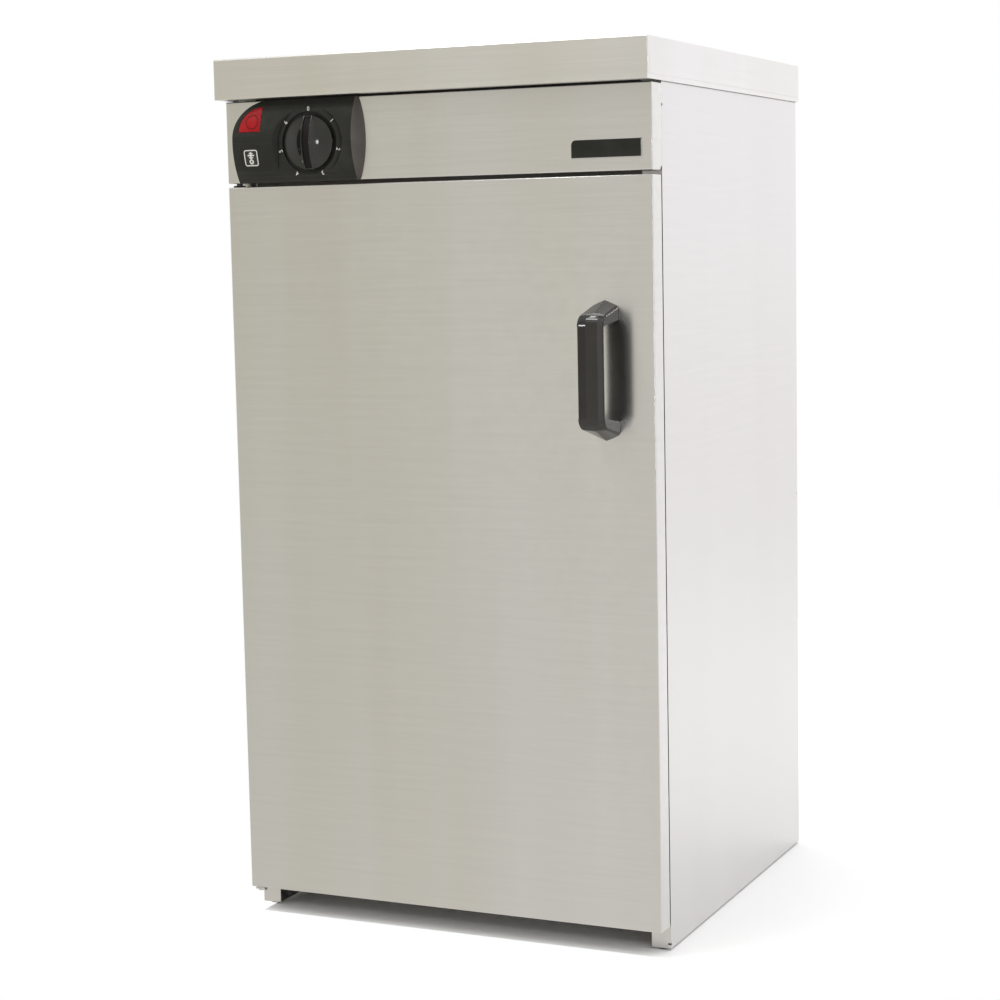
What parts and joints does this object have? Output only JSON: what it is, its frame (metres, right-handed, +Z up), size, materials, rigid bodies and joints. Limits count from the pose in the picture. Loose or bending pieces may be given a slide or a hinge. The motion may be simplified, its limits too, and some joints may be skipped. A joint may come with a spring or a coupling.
{
  "type": "plate warmer cabinet",
  "caption": "Freestanding heated cupboard for plates: brushed steel body, full-height hinged door with a bow handle, dial thermostat above it and wire shelves inside.",
  "frame": {"origin": "on the floor, under the middle of the overall footprint", "axes": "+Z up; the door and the controls face -Y; +X points to the right of someone facing the door"},
  "size_m": [0.4556, 0.488, 0.8616],
  "materials": {
    "brushed_steel": "satin",
    "plain_steel": "satin",
    "zinc_steel": "satin",
    "chrome_wire": "polished",
    "element_sheath": "matte",
    "copper": "satin",
    "black_plastic": "satin",
    "black_gloss_plastic": "gloss",
    "pale_plastic": "satin",
    "nylon": "satin",
    "red_lens": "gloss",
    "gasket_rubber": "matte",
    "mineral_wool": "matte"
  },
  "bodies": {
    "cabinet": {"worktop": "brushed_steel", "left_side_panel": "brushed_steel", "right_side_panel": "brushed_steel", "back_panel": "plain_steel", "back_screw_lower_left": "zinc_steel", "back_screw_lower_right": "zinc_steel", "back_screw_upper_left": "zinc_steel", "back_screw_upper_right": "zinc_steel", "cable_gland": "black_plastic", "base_panel": "plain_steel", "lower_front_rail": "plain_steel", "middle_front_rail": "plain_steel", "upper_front_rail": "plain_steel", "chamber_liner": "plain_steel", "left_insulation": "mineral_wool", "right_insulation": "mineral_wool", "top_insulation": "mineral_wool", "back_insulation": "mineral_wool", "left_shelf_rack": "chrome_wire", "right_shelf_rack": "chrome_wire", "heating_element": "element_sheath", "element_support": "plain_steel", "element_guard": "plain_steel", "terminal_block": "pale_plastic", "glide_front_left": "nylon", "glide_front_right": "nylon", "glide_rear_left": "nylon", "glide_rear_right": "nylon", "fascia_panel": "brushed_steel", "badge_plate": "black_plastic", "control_housing": "black_plastic", "pilot_lens": "red_lens", "pilot_lamp": "pale_plastic", "thermostat_body": "pale_plastic", "capillary_tube": "copper", "sensor_bulb": "copper", "bulb_clip": "plain_steel", "catch_magnet": "black_plastic", "hinge_bracket_top": "zinc_steel", "hinge_bracket_bottom": "zinc_steel", "hinge_pin_top": "zinc_steel", "hinge_pin_bottom": "zinc_steel"},
    "door": {"door_outer_panel": "brushed_steel", "door_inner_panel": "plain_steel", "door_insulation": "mineral_wool", "door_gasket": "gasket_rubber", "door_handle": "black_gloss_plastic", "handle_screw_upper": "zinc_steel", "handle_screw_lower": "zinc_steel", "hinge_bush_top": "nylon", "hinge_bush_bottom": "nylon", "catch_striker": "zinc_steel"},
    "knob": {"control_knob": "black_gloss_plastic", "thermostat_spindle": "zinc_steel"},
    "lower_shelf": {"shelf_lower": "chrome_wire"},
    "middle_shelf": {"shelf_middle": "chrome_wire"},
    "upper_shelf": {"shelf_upper": "chrome_wire"}
  },
  "joints": [
    {"name": "door_hinge", "type": "hinge", "parent": "cabinet", "child": "door", "pos_m": [-0.2185, -0.19455, 0.38075], "axis": [0, 0, -1], "range_deg": [0, 110]},
    {"name": "knob_turn", "type": "hinge", "parent": "cabinet", "child": "knob", "pos_m": [-0.1261, -0.21585, 0.7779], "axis": [0, 1, 0], "range_deg": [0, 308]},
    {"name": "lower_shelf_lift", "type": "slide", "parent": "cabinet", "child": "lower_shelf", "axis": [0, 0, 1], "range_m": [0, 0.185]},
    {"name": "middle_shelf_lift", "type": "slide", "parent": "cabinet", "child": "middle_shelf", "axis": [0, 0, 1], "range_m": [0, 0.185]},
    {"name": "upper_shelf_lift", "type": "slide", "parent": "cabinet", "child": "upper_shelf", "axis": [0, 0, 1], "range_m": [0, 0.185]}
  ]
}
